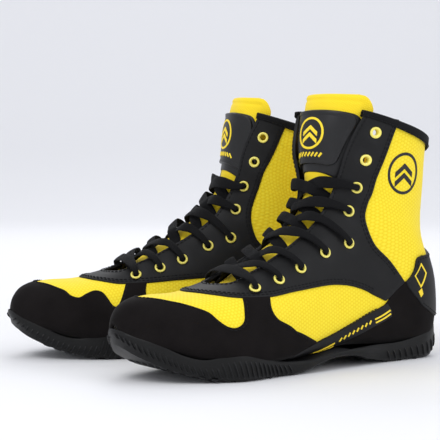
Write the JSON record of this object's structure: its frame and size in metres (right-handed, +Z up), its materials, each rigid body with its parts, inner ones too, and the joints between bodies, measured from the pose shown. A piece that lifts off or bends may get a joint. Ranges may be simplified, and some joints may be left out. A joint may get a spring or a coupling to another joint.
{
  "type": "high-top training boots",
  "caption": "Pair of high-top lace-up training boots with mesh and suede-look overlays, thin rubber cup soles, padded tongues and lift-out footbeds.",
  "frame": {"origin": "centre of the pair's bounding box, on the floor that the soles stand on", "axes": "+Z up, toes towards -Y, the left boot at +X; each boot is turned out 8.76 degrees"},
  "size_m": [0.2364, 0.3111, 0.2001],
  "materials": {
    "sole_rubber": "moulded, satin",
    "foam": "foam",
    "board": "fibre board",
    "footbed_cloth": "brushed knit",
    "lining_cloth": "soft knit",
    "stiffener": "sheet",
    "yellow_mesh": "woven mesh",
    "black_suede": "suede",
    "smooth_black": "smooth synthetic, satin",
    "binding_tape": "folded tape",
    "tongue_cloth": "satin knit",
    "badge_rubber": "soft moulded patch",
    "eyelet_paint": "satin paint",
    "lace_cloth": "flat woven",
    "lace_tip": "clear over black"
  },
  "bodies": {
    "left_boot": {"left_insole_board": "board", "left_lining": "lining_cloth", "left_heel_counter": "stiffener", "left_toe_puff": "stiffener", "left_collar_foam": "foam", "left_vamp_mesh": "yellow_mesh", "left_toe_cap": "black_suede", "left_heel_overlay": "black_suede", "left_heel_strap": "smooth_black", "left_collar_binding": "binding_tape", "left_tongue": "tongue_cloth", "left_eyelets": "eyelet_paint", "left_lace": "lace_cloth", "left_lace_tips": "lace_tip", "left_quarter_mesh_outer": "yellow_mesh", "left_quarter_mesh_inner": "yellow_mesh", "left_shaft_mesh_outer": "yellow_mesh", "left_shaft_mesh_inner": "yellow_mesh", "left_forefoot_strap_outer": "black_suede", "left_forefoot_strap_inner": "black_suede", "left_eyestay_outer": "smooth_black", "left_eyestay_inner": "smooth_black", "left_arch_strip_outer": "smooth_black", "left_arch_strip_inner": "smooth_black", "left_outsole": "sole_rubber", "left_midsole": "foam"},
    "left_tongue_top": {"left_tongue_top": "tongue_cloth", "left_tongue_badge": "badge_rubber"},
    "left_footbed": {"left_footbed": "footbed_cloth"},
    "right_boot": {"right_insole_board": "board", "right_lining": "lining_cloth", "right_heel_counter": "stiffener", "right_toe_puff": "stiffener", "right_collar_foam": "foam", "right_vamp_mesh": "yellow_mesh", "right_toe_cap": "black_suede", "right_heel_overlay": "black_suede", "right_heel_strap": "smooth_black", "right_collar_binding": "binding_tape", "right_tongue": "tongue_cloth", "right_eyelets": "eyelet_paint", "right_lace": "lace_cloth", "right_lace_tips": "lace_tip", "right_quarter_mesh_outer": "yellow_mesh", "right_quarter_mesh_inner": "yellow_mesh", "right_shaft_mesh_outer": "yellow_mesh", "right_shaft_mesh_inner": "yellow_mesh", "right_forefoot_strap_outer": "black_suede", "right_forefoot_strap_inner": "black_suede", "right_eyestay_outer": "smooth_black", "right_eyestay_inner": "smooth_black", "right_arch_strip_outer": "smooth_black", "right_arch_strip_inner": "smooth_black", "right_outsole": "sole_rubber", "right_midsole": "foam"},
    "right_tongue_top": {"right_tongue_top": "tongue_cloth", "right_tongue_badge": "badge_rubber"},
    "right_footbed": {"right_footbed": "footbed_cloth"}
  },
  "joints": [
    {"name": "right_boot_lift", "type": "slide", "parent": "left_boot", "child": "right_boot", "axis": [0, 0, 1], "range_m": [0, 0.3]},
    {"name": "left_tongue_fold", "type": "hinge", "parent": "left_boot", "child": "left_tongue_top", "pos_m": [0.04968, 0.06819, 0.131], "axis": [-0.9883, -0.1523, 0], "range_deg": [0, 15], "stiffness_Nm_per_rad": 0.3},
    {"name": "left_footbed_lift", "type": "slide", "parent": "left_boot", "child": "left_footbed", "axis": [0, 0, 1], "range_m": [0, 0.01]},
    {"name": "right_tongue_fold", "type": "hinge", "parent": "right_boot", "child": "right_tongue_top", "pos_m": [-0.04968, 0.04019, 0.131], "axis": [-0.9883, 0.1523, 0], "range_deg": [0, 15], "stiffness_Nm_per_rad": 0.3},
    {"name": "right_footbed_lift", "type": "slide", "parent": "right_boot", "child": "right_footbed", "axis": [0, 0, 1], "range_m": [0, 0.01]}
  ]
}
